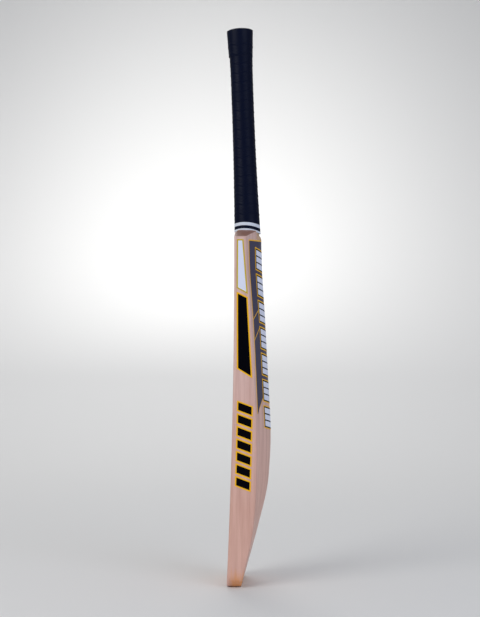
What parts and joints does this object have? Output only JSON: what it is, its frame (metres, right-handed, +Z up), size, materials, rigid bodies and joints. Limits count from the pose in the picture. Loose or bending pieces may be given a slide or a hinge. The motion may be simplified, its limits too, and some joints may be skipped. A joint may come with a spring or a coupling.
{
  "type": "cricket bat",
  "caption": "Full-size cricket bat: bowed willow blade with thick edges and a high spine, a cane handle let in by a V splice, and a ribbed rubber grip.",
  "frame": {"origin": "centre of the flat end of the toe, on which the bat stands", "axes": "+Z runs up the bat from the toe to the top of the grip, the hitting face looks towards -Y, the spine of the back towards +Y, and X is the width of the blade"},
  "size_m": [0.1084, 0.0675, 0.8603],
  "materials": {
    "willow": "lightly oiled willow",
    "cane": "sanded cane",
    "sheet_rubber": "matt",
    "twine": "waxed thread",
    "grip_rubber": "satin",
    "band_rubber": "satin",
    "label_white": "satin vinyl label",
    "label_black": "satin vinyl label",
    "label_navy": "satin vinyl label"
  },
  "bodies": {
    "root": {"blade": "willow", "cane_face_left": "cane", "cane_face_middle": "cane", "cane_face_right": "cane", "cane_front_left": "cane", "cane_front_middle": "cane", "cane_front_right": "cane", "cane_rear_left": "cane", "cane_rear_middle": "cane", "cane_rear_right": "cane", "cane_back_left": "cane", "cane_back_middle": "cane", "cane_back_right": "cane", "rubber_sheet_front": "sheet_rubber", "rubber_sheet_middle": "sheet_rubber", "rubber_sheet_rear": "sheet_rubber", "twine_binding": "twine", "grip": "grip_rubber", "grip_band_upper": "band_rubber", "grip_band_lower": "band_rubber", "edge_label_upper_right": "label_white", "edge_label_middle_right": "label_black", "edge_label_lower_right": "label_black", "edge_label_upper_left": "label_white", "edge_label_middle_left": "label_black", "edge_label_lower_left": "label_black", "back_panel_right": "label_navy", "back_panel_left": "label_navy", "back_block_strip": "label_white"}
  },
  "joints": []
}
